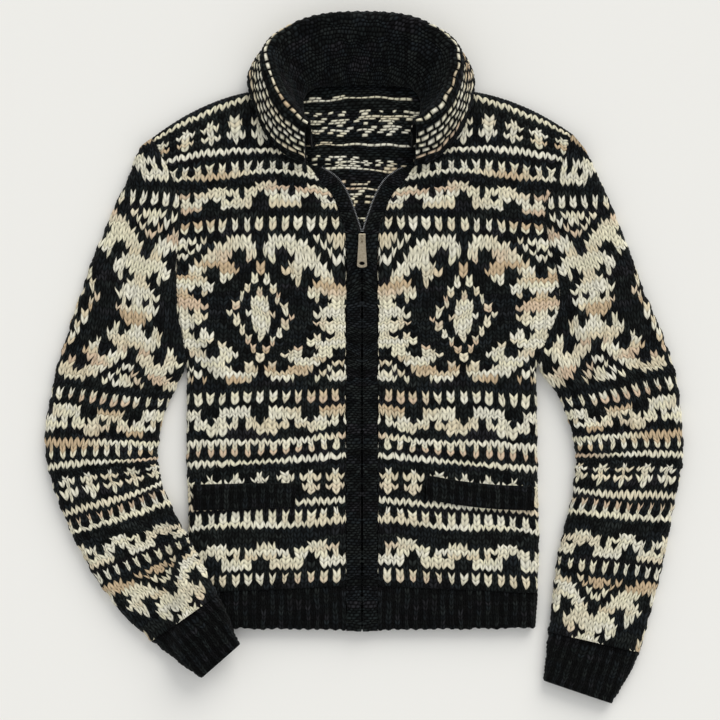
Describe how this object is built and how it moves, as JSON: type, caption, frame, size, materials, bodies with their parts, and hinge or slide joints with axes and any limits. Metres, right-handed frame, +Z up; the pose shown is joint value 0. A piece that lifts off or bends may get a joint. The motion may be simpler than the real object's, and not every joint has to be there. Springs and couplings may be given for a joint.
{
  "type": "hand-knit zip cardigan laid flat",
  "caption": "Bulky two-colour knit cardigan with folded shawl collar, zip with hinged pull tab, ribbed hem and cuffs and welt pockets, laid flat on its back.",
  "frame": {"origin": "middle of the garment's box, on the table that it lies on", "axes": "+Z up off the table, the garment's front facing up; +Y towards the collar; +X to the wearer's left"},
  "size_m": [0.795, 0.8596, 0.0519],
  "materials": {
    "wool_two_colour": "bulky stranded wool knitting, charcoal and cream",
    "wool_black": "bulky charcoal wool, ribbed or garter knitted",
    "zip_metal": "aged plated zip metal"
  },
  "bodies": {
    "garment": {"back": "wool_two_colour", "band_left": "wool_black", "band_right": "wool_black", "collar": "wool_black", "cuff_left": "wool_black", "cuff_right": "wool_black", "front_left": "wool_two_colour", "front_right": "wool_two_colour", "hem_back": "wool_black", "hem_front_left": "wool_black", "hem_front_right": "wool_black", "pocket_welt_left": "wool_black", "pocket_welt_right": "wool_black", "sleeve_left": "wool_two_colour", "sleeve_right": "wool_two_colour", "zip_chain_left": "zip_metal", "zip_chain_right": "zip_metal", "zip_slider": "zip_metal"},
    "pull": {"zip_pull": "zip_metal"}
  },
  "joints": [
    {"name": "pull_hinge", "type": "hinge", "parent": "garment", "child": "pull", "pos_m": [-0.00256, 0.1489, 0.01985], "axis": [-1, 0, 0], "range_deg": [0, 170]}
  ]
}
